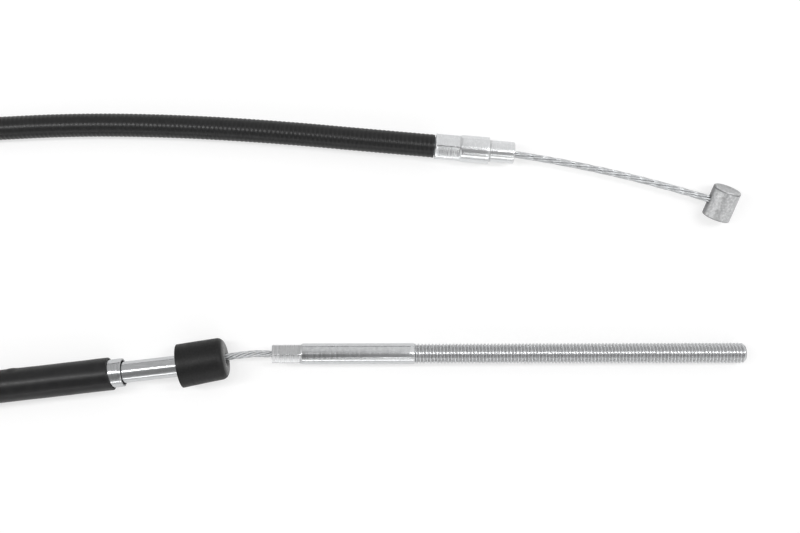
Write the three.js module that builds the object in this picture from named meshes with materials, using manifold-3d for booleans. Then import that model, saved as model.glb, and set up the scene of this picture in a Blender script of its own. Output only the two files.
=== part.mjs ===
// Control cable for a drum brake: a sheathed pull cable with its two ends laid side by side.
// The lever end has a crimped ferrule, bare stranded wire and a barrel nipple. The brake end has
// a sleeved collar, a guide tube with a rubber boot, and a threaded rod crimped on the wire.
// Millimetres. +Z is up, +X runs towards the rod's tip, and the cable lies on the plane z = 0.
import * as THREE from 'three';
import { mergeVertices } from 'three/addons/utils/BufferGeometryUtils.js';
import Module from 'manifold-3d';

const wasm = await Module();
wasm.setup();

// ---------------------------------------------------------------- driving dimensions

// Points measured across the cable are counted from the middle of the photographed field.
const FIELD_MIDDLE = new THREE.Vector2(17.544, 1.646);

const RUNNING_GAP = 0.3;      // between pieces that slide or are pressed together
const NESTING_GAP = 0.2;      // between the layers of the housing
const EDGE = 0.3;             // chamfer on turned ends

// Housing, from the outside in
const JACKET_RADIUS = 3.25;
const JACKET_WALL = 0.45;
const CONDUIT_WALL = 0.55;
const LINER_WALL = 0.25;
const WIRE_RADIUS = 1.0;
const RUN_SIDES = 10;
const LOOP_SIDES = 6;
const WIRE_SIDES = 8;
const RUN_STEP = 15;

// The stored coil: turns, pitch and place
const COIL_TURNS = 2.5;
const COIL_RADIUS = 41;
const COIL_GAP = 0.6;
const COIL_MIDDLE = new THREE.Vector2(-188, -2.6);
const STEPS_PER_LOOP = 24;
const CLIMB_DEGREES = 180;
const TIE_THICKNESS = 1.0;
const TIE_WIDTH = 3.5;
const TIE_ANGLES = [0, 180];
const LEAST_COIL_GAP = 0.4;

// Lever end
const LEVER_NOSE_END = new THREE.Vector2(32.6, 32.42);
const LEVER_AXIS_DEGREES = -5.05;
const SKIRT_LENGTH = 15.4;
const SKIRT_RADIUS = 3.85;
const SKIRT_CRIMP_LENGTH = 7.0;
const SKIRT_CRIMP_FLAT = 3.5;
const SKIRT_FLOOR = 1.5;
const NOSE_LENGTH = 7.2;
const NOSE_RADIUS = 3.1;
const LEVER_WIRE_EXIT_DEGREES = -8.6;
const LEVER_WIRE_LEAN = 0.3;
const LEVER_WIRE_BEND = 380;
const LEVER_WIRE_REACH = 61.1;
const LEVER_WIRE_TAIL = 13;
const NIPPLE_RADIUS = 4.0;
const NIPPLE_LENGTH = 9.0;
const NIPPLE_TILT_DEGREES = 22;
const NIPPLE_RIM = 0.8;
const NIPPLE_DISH = 0.35;
const NIPPLE_SOCKET_PAST_MIDDLE = 1.5;

// Brake end
const BRAKE_AXIS_POINT = new THREE.Vector2(-97.14, -32.3);
const BRAKE_AXIS_DEGREES = 6.6;
const COLLAR_FACE = 18.4;       // places along the brake axis are counted from its point
const COLLAR_LENGTH = 12.0;
const COLLAR_RADIUS = 4.05;
const TUBE_SEAT_DEPTH = 6.4;
const TUBE_RADIUS = 3.05;
const TUBE_WALL = 0.8;
const TUBE_MOUTH = 44.4;
const SLEEVE_START = -37.0;
const SLEEVE_END = 14.9;
const SLEEVE_RADIUS = 4.7;
const BOOT_MOUTH = 34.3;
const BOOT_LENGTH = 14.3;
const BOOT_RADIUS = 6.1;
const BOOT_END_RADIUS = 5.8;
const BOOT_ROUNDING = 2.4;
const BOOT_LEAN_DEGREES = 3.6;
const BRAKE_WIRE_TAIL = 70;

// Adjuster rod, metric 6 x 1 thread
const ROD_START = new THREE.Vector2(-36.4, -24.95);
const ROD_DROP = 0.12;
const NECK_LENGTH = 8.7;
const NECK_FLAT = 2.55;
const NECK_BORE_DEPTH = 8.0;
const SHANK_RADIUS = 3.0;
const SHANK_LENGTH = 32.0;
const THREAD_RADIUS = 2.925;
const THREAD_ROOT_RADIUS = 2.42;
const THREAD_PITCH = 1.0;
const THREAD_LENGTH = 95.0;
const THREAD_SIDES = 8;
const TIP_CHAMFER = 0.7;
const TIP_CLEARANCE = 0.02;

// How far the inner wire travels: out at the brake end, and back in
const PULL_OUT = 36;
const PULL_IN = 7;

// ---------------------------------------------------------------- sizes that follow

const jacketBore = JACKET_RADIUS - JACKET_WALL;
const conduitRadius = jacketBore - NESTING_GAP;
const conduitBore = conduitRadius - CONDUIT_WALL;
const linerRadius = conduitBore - NESTING_GAP;
const linerBore = linerRadius - LINER_WALL;
const conduitSeat = conduitRadius + RUNNING_GAP;
const wireSocket = WIRE_RADIUS + RUNNING_GAP;
const tubeBore = TUBE_RADIUS - TUBE_WALL;
const tubeSeat = TUBE_RADIUS + RUNNING_GAP;
const ferruleLength = SKIRT_LENGTH + NOSE_LENGTH;
const housingDiameter = 2 * JACKET_RADIUS;

const layerPitch = housingDiameter + COIL_GAP;
const lowerLayer = TIE_THICKNESS + RUNNING_GAP + JACKET_RADIUS;
const coilTop = COIL_MIDDLE.y + COIL_RADIUS;
const coilBottom = COIL_MIDDLE.y - COIL_RADIUS;

const nippleTilt = THREE.MathUtils.degToRad(NIPPLE_TILT_DEGREES);
const leverHeight = NIPPLE_LENGTH / 2 * Math.sin(nippleTilt) + NIPPLE_RADIUS * Math.cos(nippleTilt);
const brakeHeight = BOOT_RADIUS;
const rodStartHeight = brakeHeight - ROD_DROP;
const rodLength = NECK_LENGTH + SHANK_LENGTH + THREAD_LENGTH;
const rodSlope = Math.asin((rodStartHeight - THREAD_RADIUS - TIP_CLEARANCE) / rodLength);

// ---------------------------------------------------------------- places and directions

/** A point of the photographed field, at a height, in the part's own frame. */
function at(x, y, z) {
  return new THREE.Vector3(x + FIELD_MIDDLE.x, y + FIELD_MIDDLE.y, z);
}

/** The level direction at an angle from +X. */
function heading(degrees) {
  const angle = THREE.MathUtils.degToRad(degrees);
  return new THREE.Vector3(Math.cos(angle), Math.sin(angle), 0);
}

/** The point at a distance from another along a direction. */
function along(point, direction, distance) {
  return point.clone().addScaledVector(direction, distance);
}

const leverAxis = heading(LEVER_AXIS_DEGREES);
const leverNose = at(LEVER_NOSE_END.x, LEVER_NOSE_END.y, leverHeight);
const leverMouth = along(leverNose, leverAxis, -ferruleLength);
const brakeAxis = heading(BRAKE_AXIS_DEGREES);
const brakePoint = at(BRAKE_AXIS_POINT.x, BRAKE_AXIS_POINT.y, brakeHeight);
const rodAxis = new THREE.Vector3(Math.cos(rodSlope), 0, -Math.sin(rodSlope));
const rodStart = at(ROD_START.x, ROD_START.y, rodStartHeight);

/** The point at a place along the brake axis, and beside it by an offset to the left. */
function onBrakeAxis(place, offset = 0, rise = 0) {
  const left = new THREE.Vector3(-brakeAxis.y, brakeAxis.x, 0);
  const point = along(along(brakePoint, brakeAxis, place), left, offset);
  point.z += rise;
  return point;
}

// ---------------------------------------------------------------- solids

/** A mesh for joining and cutting, from any closed geometry. */
function solidFrom(geometry) {
  const plain = geometry.clone();
  plain.deleteAttribute('normal');
  plain.deleteAttribute('uv');
  const merged = mergeVertices(plain, 1e-5);
  const index = Array.from(merged.index.array);
  const kept = [];
  for (let i = 0; i < index.length; i += 3) {
    const [a, b, c] = index.slice(i, i + 3);
    if (a !== b && b !== c && c !== a) kept.push(a, b, c);
  }
  return new wasm.Manifold(new wasm.Mesh({
    numProp: 3,
    vertProperties: new Float32Array(merged.attributes.position.array),
    triVerts: new Uint32Array(kept),
  }));
}

/** The geometry of a solid that was joined or cut. */
function geometryFrom(solid) {
  const mesh = solid.getMesh();
  const geometry = new THREE.BufferGeometry();
  geometry.setAttribute('position', new THREE.BufferAttribute(mesh.vertProperties, 3));
  geometry.setIndex(new THREE.BufferAttribute(mesh.triVerts, 1));
  geometry.computeVertexNormals();
  return geometry;
}

/** A turned piece along +X. Its outline is [place, radius] pairs, the outside running forwards. */
function turned(outline, sides) {
  const profile = outline.map(([place, radius]) => new THREE.Vector2(radius, place));
  return new THREE.LatheGeometry(profile, sides).rotateZ(-Math.PI / 2);
}

/** A plain round bar along +X, for drilling. */
function bar(start, end, radius, sides = 24) {
  return turned([[start, 0], [start, radius], [end, radius], [end, 0]], sides);
}

/** Takes a ring of flats off a round bar along +X, leaving an edge of the crimp on top. */
function crimped(solid, start, end, flat, outerRadius) {
  const depth = outerRadius;
  for (let side = 0; side < 6; side += 1) {
    const block = new THREE.BoxGeometry(end - start, depth, 4 * outerRadius);
    block.translate((start + end) / 2, flat + depth / 2, 0);
    block.rotateX(side * Math.PI / 3);
    solid = solid.subtract(solidFrom(block));
  }
  return solid;
}

/** A named mesh, with its +X along a direction and its +Z as near up as it can be. */
function piece(name, geometry, finish, origin, direction) {
  const mesh = new THREE.Mesh(geometry, finish());
  mesh.name = name;
  if (origin) {
    const side = new THREE.Vector3(0, 0, 1).cross(direction).normalize();
    const top = direction.clone().cross(side);
    mesh.quaternion.setFromRotationMatrix(new THREE.Matrix4().makeBasis(direction, side, top));
    mesh.position.copy(origin);
  }
  return mesh;
}

// ---------------------------------------------------------------- finishes

const finish = (color, roughness, metalness) =>
  () => new THREE.MeshStandardMaterial({ color, roughness, metalness });

const ribbedPlastic = finish(0x2b2b2c, 0.6, 0);
const smoothPlastic = finish(0x26272a, 0.45, 0);
const rubber = finish(0x2a2a2b, 0.75, 0);
const linerPlastic = finish(0xd9d6cc, 0.5, 0);
const tiePlastic = finish(0x1d1d1f, 0.5, 0);
const springSteel = finish(0x8d8f92, 0.45, 1);
const strandedSteel = finish(0xb9bbbe, 0.4, 1);
const platedSteel = finish(0xc9cbce, 0.3, 1);
const castZinc = finish(0xb4b6b8, 0.55, 0.9);

// ---------------------------------------------------------------- tubes along a route

/** A path that passes its stations at even steps, so that nested tubes share their facets. */
class StationPath extends THREE.Curve {
  constructor(stations) {
    super();
    this.stations = stations;
  }

  getPoint(t, target = new THREE.Vector3()) {
    const place = t * (this.stations.length - 1);
    const before = Math.min(Math.floor(place), this.stations.length - 2);
    const { point } = this.stations[before];
    return target.lerpVectors(point, this.stations[before + 1].point, place - before);
  }

  getTangent(t, target = new THREE.Vector3()) {
    const nearest = Math.round(t * (this.stations.length - 1));
    return target.copy(this.stations[nearest].tangent);
  }

  getUtoTmapping(u) {
    return u;
  }
}

/** Stations a set distance apart, or a little less, on a smooth curve through points. */
function stationsThrough(points, step) {
  const curve = new THREE.CatmullRomCurve3(points);
  const steps = Math.ceil(curve.getLength() / step);
  const stations = [];
  for (let i = 0; i <= steps; i += 1) {
    const u = i / steps;
    stations.push({ point: curve.getPointAt(u), tangent: curve.getTangentAt(u) });
  }
  return stations;
}

/** The stations with a straight length added before the first. */
function ledIn(stations, length) {
  const { point, tangent } = stations[0];
  return [{ point: along(point, tangent, -length), tangent }, ...stations];
}

/** The stations with a straight length added after the last. */
function ledOut(stations, length) {
  const { point, tangent } = stations.at(-1);
  return [...stations, { point: along(point, tangent, length), tangent }];
}

/** The stations left when a length is cut off the start, which is straight there. */
function cutIn(stations, length) {
  const { point, tangent } = stations[0];
  const rest = stations.filter((station) => station.point.distanceTo(point) > length + 1);
  return [{ point: along(point, tangent, length), tangent }, ...rest];
}

/** The stations left when a length is cut off the end, which is straight there. */
function cutOut(stations, length) {
  const { point, tangent } = stations.at(-1);
  const rest = stations.filter((station) => station.point.distanceTo(point) > length + 1);
  return [...rest, { point: along(point, tangent, -length), tangent }];
}

/** A ring of evenly spaced points. */
function ring(radius, sides) {
  const points = [];
  for (let i = 0; i < sides; i += 1) {
    const angle = 2 * Math.PI * i / sides;
    points.push(new THREE.Vector2(radius * Math.cos(angle), radius * Math.sin(angle)));
  }
  return points;
}

/** A round tube along stations, or a solid wire where it has no bore. */
function tube(stations, radius, bore, sides) {
  const section = new THREE.Shape(ring(radius, sides));
  if (bore) section.holes.push(new THREE.Path(ring(bore, sides)));
  return new THREE.ExtrudeGeometry(section, {
    steps: stations.length - 1,
    bevelEnabled: false,
    extrudePath: new StationPath(stations),
  });
}

// ---------------------------------------------------------------- the housing's route

// The coil is entered at its top, moving away from the rod, and left at its bottom.
const FIRST_DEGREES = 90;
const lastDegrees = FIRST_DEGREES + 360 * COIL_TURNS;
const turningDegrees = (FIRST_DEGREES + lastDegrees) / 2;

/** A point of the coil, and where it heads. It spirals in, climbs a layer and spirals out. */
function coilStation(degrees) {
  const point = coilPoint(degrees);
  const small = 0.5;
  const start = coilPoint(Math.max(degrees - small, FIRST_DEGREES));
  const end = coilPoint(Math.min(degrees + small, lastDegrees));
  return { point, tangent: end.sub(start).normalize() };
}

function coilPoint(degrees) {
  const fromTurn = Math.abs(degrees - turningDegrees);
  const inward = (turningDegrees - FIRST_DEGREES - fromTurn) / 360;
  const radius = COIL_RADIUS - layerPitch * inward;
  const climbed = (degrees - turningDegrees) / CLIMB_DEGREES + 0.5;
  const height = lowerLayer + layerPitch * THREE.MathUtils.smoothstep(climbed, 0, 1);
  const angle = THREE.MathUtils.degToRad(degrees);
  const { x, y } = COIL_MIDDLE;
  return at(x + radius * Math.cos(angle), y + radius * Math.sin(angle), height);
}

/** The coil's stations, with a straight lead of one diameter at each end. */
function coilStations() {
  const steps = Math.round(STEPS_PER_LOOP * COIL_TURNS);
  const stations = [];
  for (let i = 0; i <= steps; i += 1) {
    stations.push(coilStation(THREE.MathUtils.lerp(FIRST_DEGREES, lastDegrees, i / steps)));
  }
  stations[0].tangent.set(-1, 0, 0);
  stations.at(-1).tangent.set(1, 0, 0);
  return ledOut(ledIn(stations, housingDiameter), housingDiameter);
}

/** The least gap between the coil's tube and itself, on points half a turn or more apart. */
function coilGap(stations) {
  const apart = STEPS_PER_LOOP / 2;
  let least = Infinity;
  for (let i = 0; i < stations.length; i += 1) {
    for (let j = i + apart; j < stations.length; j += 1) {
      least = Math.min(least, stations[i].point.distanceTo(stations[j].point));
    }
  }
  return least - housingDiameter;
}

const coilRoute = coilStations();
const gap = coilGap(coilRoute);
console.log(`least gap in the coil ${gap.toFixed(2)} mm, and ${LEAST_COIL_GAP} is enough`);

// From the coil to the lever ferrule, along the photographed curve
const leverRoute = stationsThrough([
  along(coilRoute[0].point, coilRoute[0].tangent, -RUNNING_GAP),
  at(-174, coilTop, lowerLayer),
  at(-160, 38.4, lowerLayer + 0.05),
  at(-144, 38.5, lowerLayer + 0.1),
  at(-129, 38.95, lowerLayer + 0.15),
  at(-114.3, 39.6, lowerLayer + 0.2),
  at(-100, 40.25, lowerLayer + 0.3),
  at(-85.7, 40.5, lowerLayer + 0.4),
  at(-71.4, 40.3, lowerLayer + 0.5),
  at(-57.1, 39.75, lowerLayer + 0.65),
  at(-42.9, 38.9, leverHeight - 0.1),
  along(leverMouth, leverAxis, -38),
  along(leverMouth, leverAxis, -24),
  along(leverMouth, leverAxis, -12),
  along(leverMouth, leverAxis, -RUNNING_GAP),
].reverse(), RUN_STEP);

// From the coil to the brake ferrule, the last of it straight inside the sleeve
const collarStart = COLLAR_FACE - COLLAR_LENGTH;
const coilEnd = coilRoute.at(-1);
const brakeRoute = stationsThrough([
  along(coilEnd.point, coilEnd.tangent, RUNNING_GAP),
  at(-175, coilBottom + 0.1, lowerLayer + layerPitch - 0.2),
  at(-165, coilBottom + 1.3, lowerLayer + layerPitch - 1.3),
  at(-155, coilBottom + 3.2, brakeHeight + 2.3),
  onBrakeAxis(-48.5, -0.35, 0.55),
  onBrakeAxis(-38.5),
  onBrakeAxis(-28),
  onBrakeAxis(-16),
  onBrakeAxis(-4),
  onBrakeAxis(collarStart - RUNNING_GAP),
], RUN_STEP);

// ---------------------------------------------------------------- the housing and inner wire

/** One layer of the housing, in its run to the lever, its coil and its run to the brake. */
function layer(name, finished, radius, bore, intoFerrule, intoCollar) {
  const leverRun = intoFerrule ? ledIn(leverRoute, intoFerrule) : leverRoute;
  const brakeRun = intoCollar ? ledOut(brakeRoute, intoCollar) : brakeRoute;
  return [
    piece(`${name}_lever_run`, tube(leverRun, radius, bore, RUN_SIDES), finished),
    piece(`${name}_coil`, tube(coilRoute, radius, bore, LOOP_SIDES), finished),
    piece(`${name}_brake_run`, tube(brakeRun, radius, bore, RUN_SIDES), finished),
  ];
}

/** The inner wire's middle. Its two ends are pieces of their own, because they move. */
function innerWire() {
  const leverFree = LEVER_WIRE_TAIL + PULL_OUT + 2 - ferruleLength;
  const brakeFree = BRAKE_WIRE_TAIL + PULL_IN + 1 - (TUBE_MOUTH - collarStart);
  const leverRun = cutIn(leverRoute, leverFree);
  const brakeRun = cutOut(brakeRoute, brakeFree);
  return [
    piece('inner_wire_lever_run', tube(leverRun, WIRE_RADIUS, 0, WIRE_SIDES), strandedSteel),
    piece('inner_wire_coil', tube(coilRoute, WIRE_RADIUS, 0, LOOP_SIDES), strandedSteel),
    piece('inner_wire_brake_run', tube(brakeRun, WIRE_RADIUS, 0, WIRE_SIDES), strandedSteel),
  ];
}

/** A band round the loops that pass one side of the coil. */
function coilTie(name, degrees) {
  const radii = [];
  const heights = [];
  for (let turn = degrees; turn <= lastDegrees; turn += 360) {
    if (turn < FIRST_DEGREES) continue;
    const point = coilPoint(turn).sub(at(COIL_MIDDLE.x, COIL_MIDDLE.y, 0));
    radii.push(Math.hypot(point.x, point.y));
    heights.push(point.z);
  }
  const room = JACKET_RADIUS + RUNNING_GAP;
  const low = new THREE.Vector2(Math.min(...radii) - room, Math.min(...heights) - room);
  const high = new THREE.Vector2(Math.max(...radii) + room, Math.max(...heights) + room);
  const band = roundedBox(low, high, TIE_THICKNESS, THREE.Shape);
  band.holes.push(roundedBox(low, high, 0, THREE.Path));
  const geometry = new THREE.ExtrudeGeometry(band, {
    depth: TIE_WIDTH,
    bevelEnabled: false,
    curveSegments: 3,
  });
  geometry.translate(0, 0, -TIE_WIDTH / 2);
  geometry.rotateX(Math.PI / 2);
  geometry.rotateZ(THREE.MathUtils.degToRad(degrees));
  const mesh = piece(name, geometry, tiePlastic);
  mesh.position.copy(at(COIL_MIDDLE.x, COIL_MIDDLE.y, 0));
  return mesh;
}

/** The outline of a box with round corners, grown by a margin. */
function roundedBox(low, high, margin, Outline) {
  const corner = 0.6 + margin;
  const [x0, y0] = [low.x - margin, low.y - margin];
  const [x1, y1] = [high.x + margin, high.y + margin];
  const outline = new Outline();
  outline.moveTo(x0 + corner, y0);
  outline.lineTo(x1 - corner, y0);
  outline.absarc(x1 - corner, y0 + corner, corner, -Math.PI / 2, 0);
  outline.lineTo(x1, y1 - corner);
  outline.absarc(x1 - corner, y1 - corner, corner, 0, Math.PI / 2);
  outline.lineTo(x0 + corner, y1);
  outline.absarc(x0 + corner, y1 - corner, corner, Math.PI / 2, Math.PI);
  outline.lineTo(x0, y0 + corner);
  outline.absarc(x0 + corner, y0 + corner, corner, Math.PI, 1.5 * Math.PI);
  return outline;
}

// ---------------------------------------------------------------- lever end

/** The crimped ferrule, from its skirt's mouth to the end of its nose. */
function leverFerrule() {
  const seatEnd = SKIRT_LENGTH - SKIRT_FLOOR;
  const body = turned([
    [0, conduitSeat],
    [0, SKIRT_RADIUS],
    [SKIRT_LENGTH, SKIRT_RADIUS],
    [SKIRT_LENGTH, NOSE_RADIUS],
    [ferruleLength - EDGE, NOSE_RADIUS],
    [ferruleLength, NOSE_RADIUS - EDGE],
    [ferruleLength, linerBore + 0.1],
    [seatEnd, linerBore + 0.1],
    [seatEnd, conduitSeat],
    [0, conduitSeat],
  ], 32);
  const solid = crimped(solidFrom(body), -1, SKIRT_CRIMP_LENGTH, SKIRT_CRIMP_FLAT, SKIRT_RADIUS);
  return piece('lever_ferrule', geometryFrom(solid), platedSteel, leverMouth, leverAxis);
}

// The bare wire bends on one long arc, so it slides along itself as it is pulled.
const leverWireExit = along(leverNose, new THREE.Vector3(leverAxis.y, -leverAxis.x, 0), LEVER_WIRE_LEAN);
const exitHeading = heading(LEVER_WIRE_EXIT_DEGREES);
const leverWireCentre = along(
  leverWireExit,
  new THREE.Vector3(exitHeading.y, -exitHeading.x, 0),
  LEVER_WIRE_BEND,
);

/** The station of the bare wire at a distance past the ferrule's nose. */
function leverWireStation(distance) {
  const degrees = LEVER_WIRE_EXIT_DEGREES - THREE.MathUtils.radToDeg(distance / LEVER_WIRE_BEND);
  const tangent = heading(degrees);
  const outward = new THREE.Vector3(-tangent.y, tangent.x, 0);
  return { point: along(leverWireCentre, outward, LEVER_WIRE_BEND), tangent };
}

const nippleStation = leverWireStation(LEVER_WIRE_REACH);

function leverWire() {
  const end = LEVER_WIRE_REACH + NIPPLE_SOCKET_PAST_MIDDLE - RUNNING_GAP;
  const steps = 14;
  const stations = [];
  for (let i = 0; i <= steps; i += 1) {
    stations.push(leverWireStation(THREE.MathUtils.lerp(-LEVER_WIRE_TAIL, end, i / steps)));
  }
  return piece('lever_wire', tube(stations, WIRE_RADIUS, 0, WIRE_SIDES), strandedSteel);
}

/** The cast barrel, dished at its raised end, with a socket for the wire in its side. */
function barrelNipple() {
  const half = NIPPLE_LENGTH / 2;
  const body = turned([
    [-half, 0],
    [-half, NIPPLE_RADIUS - EDGE],
    [-half + EDGE, NIPPLE_RADIUS],
    [half, NIPPLE_RADIUS],
    [half, NIPPLE_RADIUS - NIPPLE_RIM],
    [half - NIPPLE_DISH, NIPPLE_RADIUS - NIPPLE_RIM - NIPPLE_DISH],
    [half - NIPPLE_DISH, 0],
  ], 32);
  const socket = bar(-NIPPLE_RADIUS - 1, NIPPLE_SOCKET_PAST_MIDDLE, wireSocket, 16);
  socket.rotateZ(Math.PI / 2);
  const solid = solidFrom(body).subtract(solidFrom(socket));
  const mesh = piece('barrel_nipple', geometryFrom(solid), castZinc);
  const wire = nippleStation.tangent;
  const level = new THREE.Vector3(-wire.y, wire.x, 0);
  const axis = level.multiplyScalar(Math.cos(nippleTilt)).setZ(Math.sin(nippleTilt));
  const across = axis.clone().cross(wire);
  mesh.quaternion.setFromRotationMatrix(new THREE.Matrix4().makeBasis(axis, wire, across));
  mesh.position.copy(nippleStation.point);
  return mesh;
}

// ---------------------------------------------------------------- brake end

/** The smooth sleeve, bored for the jacket and wider at its end for the collar. */
function brakeSleeve() {
  const length = SLEEVE_END - SLEEVE_START;
  const widened = collarStart - 2 * RUNNING_GAP - SLEEVE_START;
  const bore = JACKET_RADIUS + RUNNING_GAP;
  const collarBore = COLLAR_RADIUS + NESTING_GAP;
  const body = turned([
    [0, bore],
    [0, SLEEVE_RADIUS - EDGE],
    [EDGE, SLEEVE_RADIUS],
    [length - EDGE, SLEEVE_RADIUS],
    [length, SLEEVE_RADIUS - NESTING_GAP],
    [length, collarBore],
    [widened, collarBore],
    [widened, bore],
    [0, bore],
  ], 24);
  return piece('brake_sleeve', body, smoothPlastic, onBrakeAxis(SLEEVE_START), brakeAxis);
}

/** The collar that holds the conduit's end and the guide tube. */
function brakeFerrule() {
  const seat = COLLAR_LENGTH - TUBE_SEAT_DEPTH;
  const body = turned([
    [0, conduitSeat],
    [0, COLLAR_RADIUS - EDGE],
    [EDGE, COLLAR_RADIUS],
    [COLLAR_LENGTH - EDGE, COLLAR_RADIUS],
    [COLLAR_LENGTH, COLLAR_RADIUS - EDGE],
    [COLLAR_LENGTH, tubeSeat],
    [seat, tubeSeat],
    [seat, conduitSeat],
    [0, conduitSeat],
  ], 24);
  return piece('brake_ferrule', body, platedSteel, onBrakeAxis(collarStart), brakeAxis);
}

/** The guide tube, from its seat in the collar to its mouth inside the boot. */
function guideTube() {
  const start = COLLAR_FACE - TUBE_SEAT_DEPTH + RUNNING_GAP;
  const length = TUBE_MOUTH - start;
  const body = turned([
    [0, tubeBore],
    [0, TUBE_RADIUS],
    [length - EDGE, TUBE_RADIUS],
    [length, TUBE_RADIUS - EDGE],
    [length, tubeBore],
    [0, tubeBore],
  ], 24);
  return piece('guide_tube', body, platedSteel, onBrakeAxis(start), brakeAxis);
}

// The bare wire leaves the tube's middle line by up to this much on its way to the rod.
const WIRE_OFFSETS = [
  [-22, 0], [-17, 0.06], [-12, 0.24], [-7, 0.52], [-2, 0.78], [2, 0.93], [6, 1.02], [9, 1.03], [12, 0.94],
];
const greatestOffset = Math.max(...WIRE_OFFSETS.map(([, offset]) => offset));

function brakeWire() {
  const exposed = WIRE_OFFSETS.map(([past, offset]) => {
    const sink = -0.0011 * Math.max(past, 0) ** 2 / 2;
    return onBrakeAxis(TUBE_MOUTH + past, offset, sink);
  });
  const curve = stationsThrough([
    onBrakeAxis(TUBE_MOUTH - 32),
    onBrakeAxis(TUBE_MOUTH - 27),
    ...exposed,
    along(rodStart, rodAxis, -1.2),
    along(rodStart, rodAxis, 0.5),
    along(rodStart, rodAxis, 4),
    along(rodStart, rodAxis, NECK_BORE_DEPTH - RUNNING_GAP),
  ], 3);
  const stations = ledIn(curve, BRAKE_WIRE_TAIL - 32);
  return piece('brake_wire', tube(stations, WIRE_RADIUS, 0, WIRE_SIDES), strandedSteel);
}

/** The outline that a wire sweeps as it shifts sideways in a hole. */
function shiftedHole(radius, shift) {
  const outline = new THREE.Shape();
  outline.absarc(0, shift, radius, 0, Math.PI);
  outline.absarc(0, 0, radius, Math.PI, 2 * Math.PI);
  outline.closePath();
  return outline;
}

/** The rubber boot: bored for the tube, and pierced at its round end for the wire. */
function dustBoot() {
  const shell = [[0, 0], [0, BOOT_RADIUS - EDGE], [EDGE, BOOT_RADIUS]];
  const steps = 4;
  for (let i = 0; i <= steps; i += 1) {
    const angle = Math.PI / 2 * i / steps;
    shell.push([
      BOOT_LENGTH - BOOT_ROUNDING * (1 - Math.sin(angle)),
      BOOT_END_RADIUS - BOOT_ROUNDING * (1 - Math.cos(angle)),
    ]);
  }
  shell.push([BOOT_LENGTH, 0]);
  const lean = THREE.MathUtils.degToRad(BOOT_LEAN_DEGREES);
  const bore = bar(-5, TUBE_MOUTH - BOOT_MOUTH + RUNNING_GAP, tubeSeat);
  const hole = new THREE.ExtrudeGeometry(shiftedHole(wireSocket, greatestOffset), {
    depth: 2 * BOOT_LENGTH,
    bevelEnabled: false,
    curveSegments: 6,
  });
  // the outline's y becomes sideways, and its depth runs along the tube
  hole.applyMatrix4(new THREE.Matrix4().makeBasis(
    new THREE.Vector3(0, 0, -1),
    new THREE.Vector3(0, 1, 0),
    new THREE.Vector3(1, 0, 0),
  ));
  let solid = solidFrom(turned(shell, 32).rotateZ(lean));
  solid = solid.subtract(solidFrom(bore)).subtract(solidFrom(hole));
  return piece('dust_boot', geometryFrom(solid), rubber, onBrakeAxis(BOOT_MOUTH), brakeAxis);
}

/** A length of screw thread along +X: crest and root are two lines winding side by side. */
function screwThread(length, crest, root, pitch, sides) {
  const steps = Math.ceil(length / pitch) * sides;
  const positions = [];
  const line = (step, radius, lead) => {
    const angle = 2 * Math.PI * step / sides;
    positions.push(pitch * step / sides + lead, radius * Math.cos(angle), radius * Math.sin(angle));
  };
  for (let step = 0; step <= steps; step += 1) {
    line(step, crest, 0);
    line(step, root, pitch / 2);
  }
  const crestAt = (step) => 2 * step;
  const rootAt = (step) => 2 * step + 1;
  const index = [];
  const quad = (a, b, c, d) => index.push(a, b, c, a, c, d);
  for (let step = 0; step < steps; step += 1) {
    quad(crestAt(step), crestAt(step + 1), rootAt(step + 1), rootAt(step));
  }
  for (let step = 0; step < steps - sides; step += 1) {
    quad(rootAt(step), rootAt(step + 1), crestAt(step + 1 + sides), crestAt(step + sides));
  }
  // each end closes on a middle point, round one turn and back down the step
  const first = positions.length / 3;
  positions.push(pitch / 2, 0, 0);
  const last = first + 1;
  positions.push(pitch * (steps / sides), 0, 0);
  for (let step = 0; step < sides; step += 1) {
    index.push(first, crestAt(step + 1), crestAt(step));
    index.push(last, rootAt(steps - sides + step), rootAt(steps - sides + step + 1));
  }
  index.push(first, rootAt(0), crestAt(sides), first, crestAt(0), rootAt(0));
  index.push(last, crestAt(steps), rootAt(steps - sides), last, rootAt(steps), crestAt(steps));
  const geometry = new THREE.BufferGeometry();
  geometry.setAttribute('position', new THREE.Float32BufferAttribute(positions, 3));
  geometry.setIndex(index);
  return geometry;
}

/** The rod: a neck crimped on the wire, a plain shank and the thread. */
function adjusterRod() {
  const threadStart = NECK_LENGTH + SHANK_LENGTH;
  const core = turned([
    [0, 0],
    [0, SHANK_RADIUS],
    [threadStart - EDGE, SHANK_RADIUS],
    [threadStart, THREAD_ROOT_RADIUS],
    [threadStart, 0],
  ], 24);
  const trim = turned([
    [threadStart - EDGE, 0],
    [threadStart - EDGE, SHANK_RADIUS],
    [rodLength - TIP_CHAMFER, SHANK_RADIUS],
    [rodLength, THREAD_ROOT_RADIUS - EDGE],
    [rodLength, 0],
  ], 24);
  const thread = screwThread(
    THREAD_LENGTH + 4 * THREAD_PITCH,
    THREAD_RADIUS,
    THREAD_ROOT_RADIUS,
    THREAD_PITCH,
    THREAD_SIDES,
  );
  thread.translate(threadStart - 2 * THREAD_PITCH, 0, 0);
  const neckBore = bar(-1, NECK_BORE_DEPTH, wireSocket, 16);
  let solid = crimped(solidFrom(core), -1, NECK_LENGTH, NECK_FLAT, SHANK_RADIUS);
  solid = solid.subtract(solidFrom(neckBore));
  solid = solid.add(solidFrom(thread).intersect(solidFrom(trim)));
  return piece('adjuster_rod', geometryFrom(solid), platedSteel, rodStart, rodAxis);
}

// ---------------------------------------------------------------- the whole cable

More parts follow.
